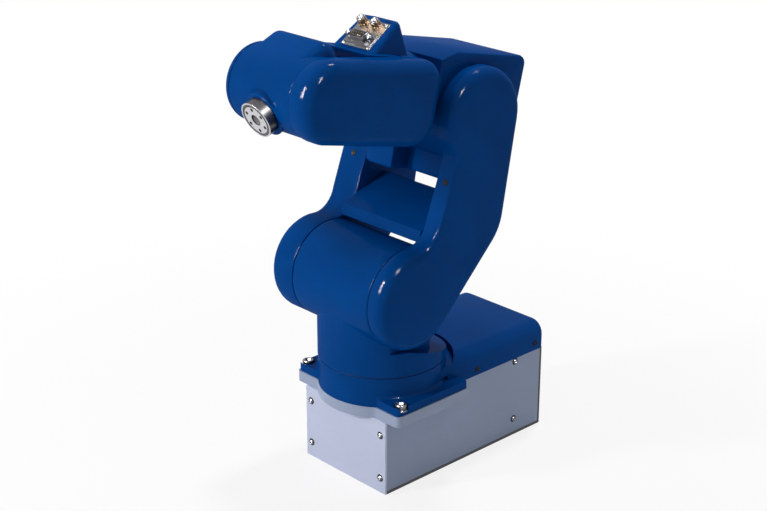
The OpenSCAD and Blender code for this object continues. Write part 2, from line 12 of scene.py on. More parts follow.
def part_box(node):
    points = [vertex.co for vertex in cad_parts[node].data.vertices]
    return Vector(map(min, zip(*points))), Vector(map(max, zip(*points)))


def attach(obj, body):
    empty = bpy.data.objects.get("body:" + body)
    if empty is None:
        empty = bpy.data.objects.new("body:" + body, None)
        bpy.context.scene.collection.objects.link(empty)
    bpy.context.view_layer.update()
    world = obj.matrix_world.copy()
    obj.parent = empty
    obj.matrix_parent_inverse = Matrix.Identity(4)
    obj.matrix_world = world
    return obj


bl_info = {
    "name": "Robot arm looks",
    "version": (1, 0, 0),
    "blender": (4, 5, 0),
    "location": "View3D > Sidebar > Robot arm",
    "description": "Finishes, fasteners and studio for a small blue robot arm",
    "category": "Object",
}

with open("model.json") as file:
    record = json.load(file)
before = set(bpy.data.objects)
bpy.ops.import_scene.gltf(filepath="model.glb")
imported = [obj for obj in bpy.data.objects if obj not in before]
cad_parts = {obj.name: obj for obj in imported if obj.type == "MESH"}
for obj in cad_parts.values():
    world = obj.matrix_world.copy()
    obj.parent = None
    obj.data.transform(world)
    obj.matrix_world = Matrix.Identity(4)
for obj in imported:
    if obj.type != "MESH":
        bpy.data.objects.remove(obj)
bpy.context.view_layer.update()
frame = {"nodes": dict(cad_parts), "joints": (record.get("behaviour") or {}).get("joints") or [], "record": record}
NODES = frame["nodes"]
JOINTS = {joint["name"]: joint for joint in frame["joints"]}
MOUNTS = {mount["name"]: mount for mount in frame["record"]["mounts"]}
SLOT_OF = {row["node"]: row["material_slot"] for row in frame["record"]["subparts"]}

MM = 0.001
ACROSS = Vector((0.0, 1.0, 0.0))
SIDES = (-1.0, 1.0)

# Degrees that the limbs' front edges tip forwards from the line between the arm's two axes
LIMB_TIP = 8.0

# Points round a ring of an added piece, and the angle from which its edges are sharp
RING_POINTS = 36
RING_SHARP = math.radians(35.0)

# Corners of a hexagon socket or nut
HEXAGON = 6

# Metres within which a CAD mesh's points are one, and the steps of its soft edges
SAME_POINT = 2e-6
EDGE_STEPS = 3


# Places on the arm


class Link:
    """A body's own frame: a place on it, and the way it points in the side view."""

    def __init__(self, body, origin, along):
        self.body = body
        self.origin = Vector(origin)
        self.along = Vector(along).normalized()
        self.up = self.along.cross(ACROSS)

    def point(self, along, up, across=0.0):
        """A place in metres, from millimetres along the link, up from it and across it."""
        return self.origin + MM * (along * self.along + up * self.up + across * ACROSS)

    def tipped(self, degrees):
        """The same link's frame, tipped forwards."""
        angle = math.radians(degrees)
        along = math.cos(angle) * self.along - math.sin(angle) * self.up
        return Link(self.body, self.origin, along)


SHOULDER = Vector(JOINTS["shoulder"]["pos_m"])
ELBOW = Vector(JOINTS["elbow"]["pos_m"])
TOOL_AXIS = Vector(JOINTS["tool_turn"]["axis"])
OUTLETS = [MOUNTS[name] for name in ("air_outlet_right", "air_outlet_left")]
BASE = Link("base", (0.0, 0.0, 0.0), (1.0, 0.0, 0.0))
LIMB = Link("lower_arm", SHOULDER, ACROSS.cross(ELBOW - SHOULDER)).tipped(LIMB_TIP)
PLATE = Link("forearm", sum((Vector(row["pos_m"]) for row in OUTLETS), Vector()) / 2.0,
             ACROSS.cross(Vector(OUTLETS[0]["axis"])))


# Shader building


class Value:
    """A node's output socket that Python arithmetic adds Math nodes to."""

    def __init__(self, nodes, socket):
        self.nodes = nodes
        self.socket = socket

    def math(self, operation, *others):
        return self.nodes.node("ShaderNodeMath", {"operation": operation}, self, *others)

    def __add__(self, other):
        return self.math("ADD", other)

    __radd__ = __add__

    def __mul__(self, other):
        return self.math("MULTIPLY", other)

    __rmul__ = __mul__

    def __sub__(self, other):
        return self.math("SUBTRACT", other)

    def __rsub__(self, other):
        return self.nodes.node("ShaderNodeMath", {"operation": "SUBTRACT"}, other, self)

    def band(self, low, high):
        """0 below low, 1 above high, smooth between."""
        settings = {"interpolation_type": "SMOOTHSTEP"}
        return self.nodes.node("ShaderNodeMapRange", settings, self, low, high, 0.0, 1.0)


class Nodes:
    """A node tree that is built by calls."""

    def __init__(self, tree):
        self.tree = tree

    def node(self, kind, settings, *inputs, out=0, **named):
        """Adds a node, sets it up, feeds its sockets by order or by name, and gives one output."""
        made = self.tree.nodes.new(kind)
        for key, value in settings.items():
            setattr(made, key, value)
        for socket, value in zip(made.inputs, inputs):
            self.feed(socket, value)
        for key, value in named.items():
            self.feed(made.inputs[key.replace("_", " ")], value)
        return Value(self, made.outputs[out]) if made.outputs else None

    def feed(self, socket, value):
        """Links a value to a socket or sets a constant there; None leaves the socket as it is."""
        if isinstance(value, Value):
            self.tree.links.new(value.socket, socket)
        elif value is not None:
            socket.default_value = value

    def seen_directly(self):
        """1 for rays from the eye and those by way of gloss or glass."""
        eye, gloss, glass = (self.node("ShaderNodeLightPath", {}, out=name)
                             for name in ("Is Camera Ray", "Is Glossy Ray", "Is Transmission Ray"))
        return eye.math("MAXIMUM", gloss.math("MAXIMUM", glass))


class Finish(Nodes):
    """One procedural material and the nodes that feed its shader."""

    def __init__(self, name, **constants):
        self.material = bpy.data.materials.new(name)
        self.material.use_nodes = True
        super().__init__(self.material.node_tree)
        self.shader = self.tree.nodes["Principled BSDF"]
        for key, value in constants.items():
            self.shader.inputs[key.replace("_", " ")].default_value = value
        self.place = self.node("ShaderNodeTexCoord", {}, out="Object")

    def set(self, name, value):
        self.feed(self.shader.inputs[name], value)

    def noise(self, scale, detail=3.0, roughness=0.55, at=None):
        return self.node("ShaderNodeTexNoise", {}, Vector=at or self.place, Scale=scale,
                         Detail=detail, Roughness=roughness)

    def stretched(self, x, y, z):
        """The place on the piece, scaled by a different amount along each axis."""
        return self.node("ShaderNodeVectorMath", {"operation": "MULTIPLY"}, self.place, (x, y, z))

    def mix_colour(self, factor, first, second):
        """Blends two colours; a Mix node's colour sockets are its seventh and eighth."""
        skipped = [None] * 5
        return self.node("ShaderNodeMix", {"data_type": "RGBA"}, factor, *skipped, first, second,
                         out=2)

    def shades(self, factor, colour, low, high):
        """One colour, varied from low to high times its brightness."""
        return self.mix_colour(factor, tint(colour, low), tint(colour, high))

    def bump(self, height, distance, strength):
        return self.node("ShaderNodeBump", {}, Strength=strength, Distance=distance, Height=height)


def tint(colour, amount):
    return (*(channel * amount for channel in colour), 1.0)


# Finishes


def enamel(name, colour):
    """Glossy stove enamel: a faint mottle in the colour and a fine orange peel.

    All its gloss is a thin coat, so that the white surround doesn't wash out the colour.
    """
    finish = Finish(name, Specular_IOR_Level=0.0, Coat_Weight=0.06, Coat_Roughness=0.08)
    mottle = finish.noise(scale=14.0).band(0.35, 0.7)
    haze = finish.noise(scale=55.0, detail=4.0).band(0.45, 0.75)
    peel = finish.noise(scale=650.0, detail=2.0, roughness=0.5)
    finish.set("Base Color", finish.shades(mottle, colour, low=0.92, high=1.08))
    finish.set("Roughness", 0.11 + mottle * 0.03 + haze * 0.04)
    finish.set("Normal", finish.bump(peel, distance=0.03 * MM, strength=0.25))


def rolled_sheet(name, colour):
    """Rolled and anodised aluminium sheet: fine streaks along the sheet and a cloudy lustre."""
    finish = Finish(name, Specular_IOR_Level=0.2)
    along_sheet = finish.stretched(0.05, 0.05, 1.0)
    streak = finish.noise(scale=800.0, roughness=0.6, at=along_sheet)
    cloud = finish.noise(scale=11.0, detail=4.0)
    rub = finish.noise(scale=120.0, detail=5.0).band(0.55, 0.8)
    tone = streak * 0.5 + cloud * 0.5
    finish.set("Base Color", finish.shades(tone, colour, low=0.92, high=1.06))
    finish.set("Roughness", 0.42 + cloud * 0.12 + rub * 0.08)
    finish.set("Normal", finish.bump(streak, distance=0.02 * MM, strength=0.35))


def powder_coat(name, colour):
    """Powder coat with a fine pebble."""
    finish = Finish(name)
    pebble = finish.node("ShaderNodeTexVoronoi", {}, Vector=finish.place, Scale=900.0)
    cloud = finish.noise(scale=20.0)
    finish.set("Base Color", finish.shades(cloud, colour, low=0.7, high=1.4))
    finish.set("Roughness", 0.42 + cloud * 0.18)
    finish.set("Normal", finish.bump(pebble, distance=0.06 * MM, strength=0.5))


def matt_rubber(name, colour):
    """Matt rubber with a dusty bloom."""
    finish = Finish(name)
    bloom = finish.noise(scale=60.0, detail=4.0)
    grain = finish.noise(scale=700.0, detail=2.0)
    finish.set("Base Color", finish.shades(bloom, colour, low=0.6, high=1.8))
    finish.set("Roughness", 0.7 + bloom * 0.2)
    finish.set("Normal", finish.bump(grain, distance=0.04 * MM, strength=0.4))


def moulded_plastic(name, colour):
    """Moulded plastic with a spark-eroded grain."""
    finish = Finish(name, Specular_IOR_Level=0.06)
    cloud = finish.noise(scale=40.0, detail=2.0)
    grain = finish.noise(scale=1100.0, detail=2.0)
    finish.set("Base Color", finish.shades(cloud, colour, low=0.8, high=1.8))
    finish.set("Roughness", 0.38 + grain * 0.2)
    finish.set("Normal", finish.bump(grain, distance=0.05 * MM, strength=0.4))


def turned_metal(name, colour, rough, marks_scale):
    """Machined metal: fine tool marks, cloudy lustre and a little staining."""
    finish = Finish(name, Metallic=1.0)
    marks = finish.noise(scale=marks_scale, detail=2.0, roughness=0.6)
    stain = finish.noise(scale=90.0, detail=4.0)
    finish.set("Base Color", finish.shades(stain, colour, low=0.82, high=1.08))
    finish.set("Roughness", rough + marks * 0.14)
    finish.set("Normal", finish.bump(marks, distance=0.02 * MM, strength=0.3))


def flange_steel(name, colour):
    """Turned steel, lighter on its face and rim and darker on its round, chosen by which way each face points:
    painted highlight and painted shade.
    """
    finish = Finish(name, Metallic=1.0)
    normal = finish.node("ShaderNodeTexCoord", {}, out="Normal")
    ahead = finish.node("ShaderNodeVectorMath", {"operation": "DOT_PRODUCT"}, normal, TOOL_AXIS,
                        out="Value")
    marks = finish.noise(scale=1500.0, detail=2.0, roughness=0.6)
    stain = finish.noise(scale=90.0, detail=4.0)
    # Painted highlight on the faces that point along the tool axis, painted shade on the round
    bright = finish.shades(marks, colour, low=1.6, high=2.1)
    dark = finish.shades(stain, colour, low=0.26, high=0.38)
    finish.set("Base Color", finish.mix_colour(ahead.band(0.4, 0.6), dark, bright))
    finish.set("Roughness", 0.2 + marks * 0.14)
    finish.set("Normal", finish.bump(marks, distance=0.02 * MM, strength=0.3))


# How each finish is made, the colour that it takes, and its own settings
FINISHES = {
    "blue_paint": (enamel, "paint", {}),
    "satin_aluminium": (rolled_sheet, "sheet", {}),
    # A darker copy of the front's aluminium: painted shade on the plinth's sides and mounting plate
    "dull_sheet": (rolled_sheet, "dull", {}),
    "dark_sheet": (powder_coat, "coat", {}),
    "black_rubber": (matt_rubber, "rubber", {}),
    "black_plastic": (moulded_plastic, "rubber", {}),
    "steel": (turned_metal, "screw", {"rough": 0.2, "marks_scale": 1500.0}),
    "connector_steel": (turned_metal, "plate", {"rough": 0.22, "marks_scale": 2500.0}),
    "brass": (turned_metal, "brass", {"rough": 0.24, "marks_scale": 1800.0}),
    # Steel with a painted highlight on the flange's face and painted shade on its round
    "flange_steel": (flange_steel, "steel", {}),
}


def finish_for(slot):
    """A slot's material, made when first asked for; the CAD model's own has the bare name."""
    name = "arm_" + slot
    if name not in bpy.data.materials:
        make, colour, settings = FINISHES[slot]
        make(name, getattr(bpy.context.scene.arm_colours, colour), **settings)
    return bpy.data.materials[name]


# Mesh building


def smoothing_group(sharp_angle):
    """A node group that joins a CAD mesh's loose faces and smooths all but its sharp edges."""
    group = bpy.data.node_groups.new("join_and_smooth", "GeometryNodeTree")
    for way in ("INPUT", "OUTPUT"):
        group.interface.new_socket("Geometry", in_out=way, socket_type="NodeSocketGeometry")
    nodes = Nodes(group)
    angle = nodes.node("GeometryNodeInputMeshEdgeAngle", {}, out="Unsigned Angle")
    sharp = nodes.node("FunctionNodeCompare", {"data_type": "FLOAT", "operation": "GREATER_THAN"},
                       A=angle, B=sharp_angle)
    mesh = nodes.node("NodeGroupInput", {})
    mesh = nodes.node("GeometryNodeRemoveAttribute", {}, mesh, Name="custom_normal")
    mesh = nodes.node("GeometryNodeMergeByDistance", {}, mesh, Distance=SAME_POINT)
    mesh = nodes.node("GeometryNodeSetShadeSmooth", {"domain": "FACE"}, mesh, Shade_Smooth=True)
    mesh = nodes.node("GeometryNodeSetShadeSmooth", {"domain": "EDGE"}, mesh, Selection=sharp,
                      Shade_Smooth=False)
    nodes.node("NodeGroupOutput", {}, mesh)
    return group


def soften(obj, width, sharp_angle):
    """Joins and smooths a CAD mesh and rounds its sharp edges by a small bevel."""
    group = bpy.data.node_groups.get("join_and_smooth") or smoothing_group(sharp_angle)
    obj.modifiers.new("join_and_smooth", "NODES").node_group = group
    if width > 0.0:
        edge = obj.modifiers.new("edge", "BEVEL")
        edge.width = width
        edge.segments = EDGE_STEPS
        edge.limit_method = "ANGLE"
        edge.angle_limit = sharp_angle
        edge.harden_normals = True


def dress(nodes, width):
    """Gives CAD nodes the finish of their slot, and soft edges."""
    sizes = bpy.context.scene.arm_sizes
    for name in nodes:
        obj = NODES[name]
        obj.data.materials.clear()
        obj.data.materials.append(finish_for(SLOT_OF[name]))
        soften(obj, width, sizes.sharp_angle)


def circle(radius, height, count=RING_POINTS):
    return [Vector((radius * math.cos(a), radius * math.sin(a), height))
            for a in (2.0 * math.pi * k / count for k in range(count))]


def polygon_ring(radius, height, sides):
    """A circle's points, spread along a regular polygon whose flats lie at the radius."""
    ring = []
    step = 2.0 * math.pi / sides
    for k in range(RING_POINTS):
        a = 2.0 * math.pi * k / RING_POINTS
        from_flat = (a % step) - step / 2.0
        reach = radius / math.cos(from_flat)
        ring.append(Vector((reach * math.cos(a), reach * math.sin(a), height)))
    return ring


class Maker:
    """Gathers lofted shapes into one mesh, which becomes a piece on one body."""

    def __init__(self, name, body, slot):
        self.name = name
        self.body = body
        self.slot = slot
        self.mesh = bmesh.new()

    def loft(self, rings, place, open_start=False):
        """Skins a stack of equal rings, closed at the last and, unless left open, at the first."""
        made = [[self.mesh.verts.new(place @ point) for point in ring] for ring in rings]
        count = len(rings[0])
        for low, high in zip(made, made[1:]):
            for k in range(count):
                after = (k + 1) % count
                self.mesh.faces.new((low[k], low[after], high[after], high[k]))
        self.mesh.faces.new(made[-1])
        if not open_start:
            self.mesh.faces.new(list(reversed(made[0])))

    def place(self):
        """Makes the piece, shaded smooth with sharp edges kept."""
        mesh = bpy.data.meshes.new(self.name)
        for edge in self.mesh.edges:
            edge.smooth = edge.is_manifold and edge.calc_face_angle() < RING_SHARP
        for face in self.mesh.faces:
            face.smooth = True
        self.mesh.to_mesh(mesh)
        self.mesh.free()
        obj = bpy.data.objects.new(self.name, mesh)
        bpy.context.scene.collection.objects.link(obj)
        mesh.materials.append(finish_for(self.slot))
        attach(obj, self.body)


def facing(point, axis):
    """A placing matrix at a point in metres, with millimetres inside it and its Z along an axis."""
    turn = Vector(axis).to_track_quat("Z", "Y").to_matrix().to_4x4()
    return Matrix.Translation(Vector(point)) @ turn @ Matrix.Scale(MM, 4)


def socket_head(maker, place, radius, height, key, domed):
    """A hexagon socket screw's head; domed is the share of its lesser size that its rim rounds."""
    rim = domed * min(radius, height)
    mouth = 1.25 * key
    lead = 0.15
    floor = 0.35 * height
    rings = [circle(radius, 0.0), circle(radius, height - rim)]
    for degrees in (30.0, 60.0, 90.0):
        a = math.radians(degrees)
        inwards, down = rim * (1.0 - math.cos(a)), rim * (1.0 - math.sin(a))
        rings.append(circle(radius - inwards, height - down))
    rings += [circle(mouth, height), polygon_ring(key, height - lead, HEXAGON),
              polygon_ring(key, floor, HEXAGON)]
    maker.loft(rings, place)


def washer(maker, place, inner, outer, height):
    """A flat ring with a small chamfer, open below."""
    lip = 0.2
    maker.loft([circle(outer, 0.0), circle(outer, height - lip), circle(outer - lip, height),
                circle(inner, height), circle(inner, 0.0)], place, open_start=True)


def plug(maker, place, radius, height):
    """A domed screw plug with a shallow dish, its foot a little below the face it sits on."""
    foot = -0.3
    profile = ((1.0, foot), (1.0, 0.4 * height), (0.86, height), (0.55, height),
               (0.45, 0.5 * height))
    maker.loft([circle(radius * share, up) for share, up in profile], place)


# Settings


class ArmColours(bpy.types.PropertyGroup):
    """Colours of the arm's finishes."""

    paint: FloatVectorProperty(name="Paint", subtype="COLOR", size=3, default=(0.0, 0.048, 0.22),
                               description="Enamel on the castings and covers")
    sheet: FloatVectorProperty(name="Sheet", subtype="COLOR", size=3, default=(0.49, 0.53, 0.69),
                               description="Aluminium of the plinth's front")
    # The front's aluminium darkened as painted shade, for the plinth's sides and mounting plate
    dull: FloatVectorProperty(name="Sheet in painted shade", subtype="COLOR", size=3,
                              default=(0.285, 0.34, 0.475),
                              description="Aluminium of the plinth's sides and mounting plate")
    coat: FloatVectorProperty(name="Coat", subtype="COLOR", size=3, default=(0.02, 0.02, 0.023),
                              description="Powder coat on the plinth's bottom and rear")
    rubber: FloatVectorProperty(name="Rubber", subtype="COLOR", size=3,
                                default=(0.012, 0.012, 0.013),
                                description="Seals, plugs and plastic")
    steel: FloatVectorProperty(name="Steel", subtype="COLOR", size=3, default=(0.30, 0.30, 0.315),
                               description="Turned steel of the tool flange")
    screw: FloatVectorProperty(name="Screws", subtype="COLOR", size=3, default=(0.18, 0.18, 0.19),
                               description="Screws, bolts and collars")
    plate: FloatVectorProperty(name="Plate", subtype="COLOR", size=3, default=(0.14, 0.14, 0.147),
                               description="Connector plate and shell")
    brass: FloatVectorProperty(name="Brass", subtype="COLOR", size=3, default=(0.20, 0.14, 0.09),
                               description="Air fittings and contacts")


class ArmSizes(bpy.types.PropertyGroup):
    """Sizes of the soft edges and small fasteners."""

    casting_edge: FloatProperty(name="Casting edge", unit="LENGTH", default=0.0011,
                                description="Softness of the castings' sharp edges")
    sheet_edge: FloatProperty(name="Sheet edge", unit="LENGTH", default=0.0003,
                              description="Softness of the sheet metal's edges")
    sharp_angle: FloatProperty(name="Sharp angle", subtype="ANGLE", default=math.radians(34.0),
                               description="Angle from which an edge counts as sharp")
    screw_r: FloatProperty(name="Screw radius", unit="LENGTH", default=0.0026,
                           description="Head radius of the panel screws")
    bolt_r: FloatProperty(name="Bolt radius", unit="LENGTH", default=0.005,
                          description="Head radius of the foot bolts")
    plug_r: FloatProperty(name="Plug radius", unit="LENGTH", default=0.0027,
                          description="Radius of the screw plugs")


class StageSettings(bpy.types.PropertyGroup):
    """Camera and light of the studio."""

    eye: FloatVectorProperty(name="Eye", subtype="TRANSLATION", size=3,
                             default=(0.887643, 0.946747, 0.713745),
                             description="Place of the camera")
    pitch: FloatProperty(name="Pitch", subtype="ANGLE", default=math.radians(68.3772),
                         description="Tilt of the camera from straight down")
    heading: FloatProperty(name="Heading", subtype="ANGLE", default=math.radians(136.7813),
                           description="Turn of the camera about the vertical")
    lens: FloatProperty(name="Lens", unit="CAMERA", default=75.05,
                        description="Focal length of the camera")
    key_power: FloatProperty(name="Key", unit="POWER", default=17.0,
                             description="Power of the lamp before the arm")
    top_power: FloatProperty(name="Top", unit="POWER", default=12.5,
                             description="Power of the lamp above the arm")
    front_gloss: FloatProperty(name="Front box", unit="POWER", default=250.0,
                               description="Power of the front soft box in reflections")
    side_gloss: FloatProperty(name="Side box", unit="POWER", default=54.0,
                              description="Power of the side soft box in reflections")
    fill: FloatProperty(name="Fill", subtype="FACTOR", min=0.0, max=1.0, default=0.4,
                        description="Strength of the light from all round")


# Operators; sizes and places that they name are in millimetres, apart from the stage's


class ARM_OT_castings(bpy.types.Operator):
    """Paint the castings and covers of the arm"""

    bl_idname = "arm.castings"
    bl_label = "Castings"

    # Nodes whose edges are round in the CAD model already
    rounded = ("left_limb", "right_limb", "side_arm", "motor_box", "elbow_cover",
               "forearm_casting", "wrist_housing", "rear_hood", "connector_housing")

    def execute(self, context):
        painted = [name for name in NODES if SLOT_OF[name] == "blue_paint"]
        edged = [name for name in painted if name not in self.rounded]
        dress([name for name in painted if name in self.rounded], 0.0)
        dress(edged, context.scene.arm_sizes.casting_edge)
        return {"FINISHED"}


class ARM_OT_plinth(bpy.types.Operator):
    """Finish the plinth's sheet metal, frame and seal"""

    bl_idname = "arm.plinth"
    bl_label = "Plinth"

    slots = ("satin_aluminium", "dark_sheet", "black_rubber")
    # Panels that take the darker aluminium as painted shade
    dull = ("left_side_panel", "right_side_panel", "mounting_plate")

    def execute(self, context):
        sheets = [name for name in NODES if SLOT_OF[name] in self.slots]
        dress(sheets, context.scene.arm_sizes.sheet_edge)
        for name in self.dull:
            NODES[name].data.materials[0] = finish_for("dull_sheet")
        return {"FINISHED"}


class ARM_OT_fittings(bpy.types.Operator):
    """Finish the tool flange, connectors and air fittings"""

    bl_idname = "arm.fittings"
    bl_label = "Fittings"

    slots = ("steel", "connector_steel", "brass", "black_plastic")
    edge_share = 0.5

    def execute(self, context):
        fittings = [name for name in NODES if SLOT_OF[name] in self.slots]
        dress(fittings, self.edge_share * context.scene.arm_sizes.sheet_edge)
        # The flange's steel has painted light: a lighter face and rim, a darker round
        NODES["tool_flange"].data.materials[0] = finish_for("flange_steel")
        return {"FINISHED"}


class ARM_OT_panel_screws(bpy.types.Operator):
    """Add the button head screws that hold the plinth's panels, each on a dark ring of painted shade round its
    head
    """

    bl_idname = "arm.panel_screws"
    bl_label = "Panel screws"

    front_y = 45.7
    front_z = (14.5, 56.6)
    side_spots = ((-120.0, 17.0), (-120.0, 76.5))
    rear_spots = ((46.0, 10.0), (46.0, 70.0))
    # How far the dark ring of painted shade reaches past each screw head
    seat_rim = 0.9

    def execute(self, context):
        radius = context.scene.arm_sizes.screw_r / MM
        screws = Maker("panel_screws", BASE.body, "steel")
        # Dark rings under the screw heads stand in for the shade round them
        painted_shade_rings = Maker("panel_screw_seats", BASE.body, "black_plastic")
        for place in self.places():
            socket_head(screws, place, radius, height=1.7, key=1.2, domed=0.8)
            washer(painted_shade_rings, place, inner=1.5, outer=radius + self.seat_rim, height=0.3)
        screws.place()
        painted_shade_rings.place()
        return {"FINISHED"}

    def places(self):
        """Where the screws sit, on the front, the two sides and the rear."""
        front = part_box("front_panel")[1]
        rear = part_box("rear_panel")[0].x
        places = []
        for sign in SIDES:
            places += [facing((front.x, sign * self.front_y * MM, z * MM), (1.0, 0.0, 0.0))
                       for z in self.front_z]
            places += [facing((x * MM, sign * front.y, z * MM), (0.0, sign, 0.0))
                       for x, z in self.side_spots]
            places += [facing((rear, sign * y * MM, z * MM), (-1.0, 0.0, 0.0))
                       for y, z in self.rear_spots]
        return places


class ARM_OT_foot_bolts(bpy.types.Operator):
    """Add the socket head bolts and washers that hold the arm's foot"""

    bl_idname = "arm.foot_bolts"
    bl_label = "Foot bolts"

    along = 35.0
    across = 61.0
    seat_below_top = 23.5
    washer_t = 1.0
    washer_rim = 0.6

    def execute(self, context):
        radius = context.scene.arm_sizes.bolt_r / MM
        bolts = Maker("foot_bolts", BASE.body, "steel")
        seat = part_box("base_casting")[1].z / MM - self.seat_below_top
        for sign in SIDES:
            place = self.standing(seat, sign)
            washer(bolts, place, inner=2.0, outer=radius + self.washer_rim, height=self.washer_t)
            place = self.standing(seat + self.washer_t, sign)
            socket_head(bolts, place, radius, height=5.0, key=2.5, domed=0.15)
        bolts.place()
        return {"FINISHED"}

    def standing(self, height, sign):
        """An upright place at a height over the foot's hole on one side."""
        return facing(BASE.point(self.along, height, sign * self.across), (0.0, 0.0, 1.0))


class ARM_OT_screw_plugs(bpy.types.Operator):
    """Add the dark plugs over the screws in the hood and the limbs"""

    bl_idname = "arm.screw_plugs"
    bl_label = "Screw plugs"

    hood_spots = ((-67.6, 86.1), (-146.0, 87.0))
    limb_spots = ((0.0, 103.5, 59.0), (-9.0, 102.0, -64.0))
    plug_h = 0.8

    def execute(self, context):
        radius = context.scene.arm_sizes.plug_r / MM
        hood = Maker("hood_plugs", BASE.body, "black_plastic")
        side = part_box("rear_hood")[1].y
        for sign in SIDES:
            for x, z in self.hood_spots:
                place = facing((x * MM, sign * side, z * MM), (0.0, sign, 0.0))
                plug(hood, place, radius, self.plug_h)
        hood.place()
        limbs = Maker("limb_plugs", LIMB.body, "black_plastic")
        for along, up, across in self.limb_spots:
            plug(limbs, facing(LIMB.point(along, up, across), LIMB.along), radius, self.plug_h)
        limbs.place()
        return {"FINISHED"}


class ARM_OT_connector(bpy.types.Operator):
    """Add the data connector's face, contacts and screws, and the air fittings' collars"""

    bl_idname = "arm.connector"
    bl_label = "Connector"

    # Heights from the air outlets' mounts, and the connector's middle along the plate from them
    middle = 14.5
    shell_top = 1.0
    plate_top = -5.0
    collar_up = 3.0

    insert_outline = ((-3.2, -7.4), (3.2, -6.4), (3.2, 6.4), (-3.2, 7.4))
    insert_heights = (-0.5, 0.3)

    # Place along the plate and count of the contacts in each row
    rows = ((-1.4, 5), (1.4, 4))
    pitch = 2.77
    contact = ((0.5, 0.0), (0.5, 0.4), (0.3, 0.5))
    contact_points = 12

    jack_spots = (-12.4, 12.4)
    jack_foot = 1.0
    jack_flats = 2.3
    jack_h = 5.0
    jack_chamfer = 0.4
    jack_crown = 2.0
    jack_bore = 1.2
    jack_bore_floor = 2.0

    screw_spots = ((-4.2, 14.2), (-4.2, -14.2), (21.9, 14.6), (21.9, -14.6))
    collar_lap = 0.4

    def execute(self, context):
        self.add_insert()
        self.add_contacts()
        self.add_screws()
        self.add_collars()
        return {"FINISHED"}

    def add_insert(self):
        insert = Maker("connector_insert", PLATE.body, "black_plastic")
        rings = [[Vector((x, y, z)) for x, y in self.insert_outline] for z in self.insert_heights]
        insert.loft(rings, self.on_shell(0.0, 0.0))
        insert.place()

    def add_contacts(self):
        contacts = Maker("connector_contacts", PLATE.body, "brass")
        rings = [circle(radius, up, self.contact_points) for radius, up in self.contact]
        for along, count in self.rows:
            for k in range(count):
                across = self.pitch * (k - (count - 1) / 2.0)
                contacts.loft(rings, self.on_shell(along, across))
        contacts.place()

    def add_screws(self):
        screws = Maker("connector_screws", PLATE.body, "steel")
        post = [polygon_ring(self.jack_flats, 0.0, HEXAGON),
                polygon_ring(self.jack_flats, self.jack_h - self.jack_chamfer, HEXAGON),
                circle(self.jack_crown, self.jack_h), circle(self.jack_bore, self.jack_h),
                circle(self.jack_bore, self.jack_bore_floor)]
        for across in self.jack_spots:
            foot = PLATE.point(self.middle, self.plate_top + self.jack_foot, across)
            screws.loft(post, facing(foot, PLATE.up))
        for along, across in self.screw_spots:
            place = facing(PLATE.point(along, self.plate_top, across), PLATE.up)
            socket_head(screws, place, radius=1.5, height=0.9, key=0.6, domed=0.7)
        screws.place()

    def add_collars(self):
        collars = Maker("fitting_collars", PLATE.body, "steel")
        for mount in OUTLETS:
            spot = Vector(mount["pos_m"]) + self.collar_up * MM * PLATE.up
            inner = mount["dims"]["r_mm"] - self.collar_lap
            washer(collars, facing(spot, PLATE.up), inner, outer=3.6, height=1.3)
        collars.place()

    def on_shell(self, along, across):
        """A place on the connector shell's top, with its X down the plate's slope."""
        turn = Matrix((PLATE.along, ACROSS, PLATE.up)).transposed().to_4x4()
        point = PLATE.point(self.middle + along, self.shell_top, across)
        return Matrix.Translation(point) @ turn @ Matrix.Scale(MM, 4)


class ARM_OT_tool_ring(bpy.types.Operator):
    """Add the dark ring in the tool flange's groove"""

    bl_idname = "arm.tool_ring"
    bl_label = "Tool ring"

    below_face = 1.2

    def execute(self, context):
        face = MOUNTS["tool_bolts"]
        axis = Vector(face["axis"])
        floor = Vector(face["pos_m"]) - self.below_face * MM * axis
        ring = Maker("tool_ring", "tool", "black_rubber")
        washer(ring, facing(floor, axis), inner=12.45, outer=14.65, height=0.8)
        ring.place()
        return {"FINISHED"}


class ARM_OT_receptacle(bpy.types.Operator):
    """Add the power receptacle's insert and contact pins"""

    bl_idname = "arm.receptacle"
    bl_label = "Receptacle"

    # Radius and height of the rings
    insert = ((11.5, -0.2), (11.5, 1.2), (11.0, 1.6))
    pin = ((1.1, 1.0), (1.1, 3.6), (0.6, 4.2))
    pin_points = 16
    pin_circle = 8.5
    pins_round = 8

    def execute(self, context):
        mount = MOUNTS["power_inlet"]
        axis = Vector(mount["axis"])
        floor = Vector(mount["pos_m"]) - 0.5 * mount["dims"]["length_mm"] * MM * axis
        place = facing(floor, axis)
        base = Maker("receptacle_insert", BASE.body, "black_plastic")
        base.loft([circle(radius, up) for radius, up in self.insert], place)
        base.place()
        pins = Maker("receptacle_pins", BASE.body, "steel")
        rings = [circle(radius, up, self.pin_points) for radius, up in self.pin]
        for spot in [Vector(), *circle(self.pin_circle, 0.0, self.pins_round)]:
            pins.loft(rings, place @ Matrix.Translation(spot))
        pins.place()
        return {"FINISHED"}


